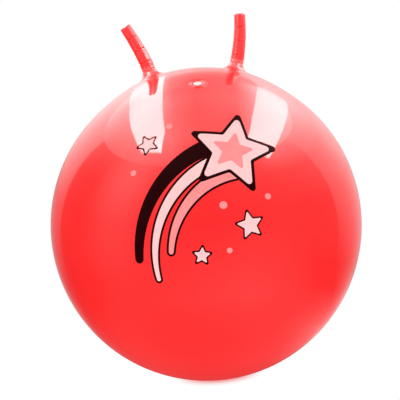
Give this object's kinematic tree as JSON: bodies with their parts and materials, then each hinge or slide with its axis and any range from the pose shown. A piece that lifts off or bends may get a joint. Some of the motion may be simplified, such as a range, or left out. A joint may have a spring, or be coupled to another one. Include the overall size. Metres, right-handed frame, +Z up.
{
  "type": "hopper ball",
  "caption": "Inflated PVC hopper ball with bending horn handles on its crown and a pull-out stopper in its air valve.",
  "frame": {"origin": "on the floor, in the middle of the flattened patch that the ball rests on", "axes": "+Z up through the crown, +X from the left horn to the right horn, -Y the front, where the valve is"},
  "size_m": [0.5, 0.5, 0.5804],
  "materials": {
    "skin_pvc": "glossy soft PVC, thin inflated wall",
    "horn_pvc": "glossy soft PVC, thicker moulded wall",
    "valve_pvc": "satin soft PVC",
    "plug_white": "satin polyethylene"
  },
  "bodies": {
    "ball": {"ball_skin": "skin_pvc", "valve_seat": "valve_pvc"},
    "plug": {"valve_plug": "plug_white"},
    "left_neck": {"left_horn_neck": "horn_pvc"},
    "left_grip": {"left_horn_grip": "horn_pvc"},
    "right_neck": {"right_horn_neck": "horn_pvc"},
    "right_grip": {"right_horn_grip": "horn_pvc"}
  },
  "joints": [
    {"name": "plug_pull", "type": "slide", "parent": "ball", "child": "plug", "axis": [0, -0.4226, 0.9063], "range_m": [0, 0.04]},
    {"name": "left_root_bend", "type": "hinge", "parent": "ball", "child": "left_neck", "pos_m": [-0.06885, 0, 0.49737], "axis": [0.9641, 0, 0.2656], "range_deg": [-25, 25], "stiffness_Nm_per_rad": 1.2},
    {"name": "left_grip_bend", "type": "hinge", "parent": "left_neck", "child": "left_grip", "pos_m": [-0.07364, 0, 0.51473], "axis": [0, -1, 0], "range_deg": [-25, 15], "stiffness_Nm_per_rad": 0.9},
    {"name": "right_root_bend", "type": "hinge", "parent": "ball", "child": "right_neck", "pos_m": [0.06885, 0, 0.49737], "axis": [0.9641, 0, -0.2656], "range_deg": [-25, 25], "stiffness_Nm_per_rad": 1.2},
    {"name": "right_grip_bend", "type": "hinge", "parent": "right_neck", "child": "right_grip", "pos_m": [0.07364, 0, 0.51473], "axis": [0, 1, 0], "range_deg": [-15, 25], "stiffness_Nm_per_rad": 0.9}
  ]
}
